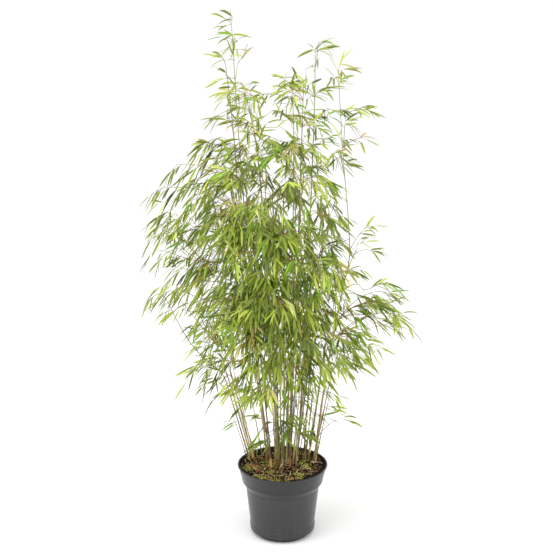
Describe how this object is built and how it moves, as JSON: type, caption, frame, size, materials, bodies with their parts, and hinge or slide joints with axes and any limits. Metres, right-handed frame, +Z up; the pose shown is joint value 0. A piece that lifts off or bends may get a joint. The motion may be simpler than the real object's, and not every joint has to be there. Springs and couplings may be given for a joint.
{
  "type": "potted bamboo",
  "caption": "Clump of slender leafy bamboo canes growing from compost in a round dark nursery pot.",
  "frame": {"origin": "centre of the pot's flat underside, on the floor", "axes": "+Z up along the pot's axis, -Y towards the viewer, +X to the viewer's right"},
  "size_m": [0.6551, 0.4617, 1.3232],
  "materials": {
    "pot_plastic": "satin injection-moulded, faint vertical streaks",
    "compost": "rough, damp and granular, with bits of moss and straw",
    "cane": "smooth olive-tan canes with ringed nodes and papery sheaths",
    "leaf": "soft satin leaf, paler along the edges"
  },
  "bodies": {
    "root": {"pot": "pot_plastic", "soil": "compost", "leader_left_tall": "cane", "leader_left_hooked": "cane", "leader_left_slender": "cane", "leader_middle_front": "cane", "leader_middle_back": "cane", "leader_right_tall": "cane", "leader_right_bowed": "cane", "cane_middle_1": "cane", "cane_middle_2": "cane", "cane_middle_3": "cane", "cane_middle_4": "cane", "cane_middle_5": "cane", "cane_middle_6": "cane", "cane_middle_7": "cane", "cane_middle_8": "cane", "cane_middle_9": "cane", "cane_middle_10": "cane", "cane_middle_11": "cane", "cane_left_1": "cane", "cane_left_2": "cane", "cane_left_3": "cane", "cane_left_4": "cane", "cane_right_1": "cane", "cane_right_2": "cane", "cane_right_3": "cane", "cane_right_4": "cane", "branch_right_lobe": "cane", "branch_right_sprig": "cane", "branch_left_arch": "cane", "branch_left_middle": "cane", "foliage_tuft_left_tall": "leaf", "foliage_tuft_left_neck": "leaf", "foliage_tuft_left_slender": "leaf", "foliage_tuft_middle": "leaf", "foliage_tuft_right_tall": "leaf", "foliage_tuft_right_side": "leaf", "foliage_sprig_right": "leaf", "foliage_sprig_right_low": "leaf", "foliage_crown_left_arch": "leaf", "foliage_crown_left": "leaf", "foliage_crown_middle": "leaf", "foliage_crown_right": "leaf", "foliage_left_upper": "leaf", "foliage_left_middle": "leaf", "foliage_left_lower": "leaf", "foliage_front_upper": "leaf", "foliage_front_middle": "leaf", "foliage_front_lower": "leaf", "foliage_front_right_upper": "leaf", "foliage_front_right_lower": "leaf", "foliage_right_upper": "leaf", "foliage_right_lobe": "leaf", "foliage_right_lower": "leaf", "foliage_back_left_upper": "leaf", "foliage_back_right_upper": "leaf", "foliage_back_left_lower": "leaf", "foliage_back_right_lower": "leaf"}
  },
  "joints": []
}
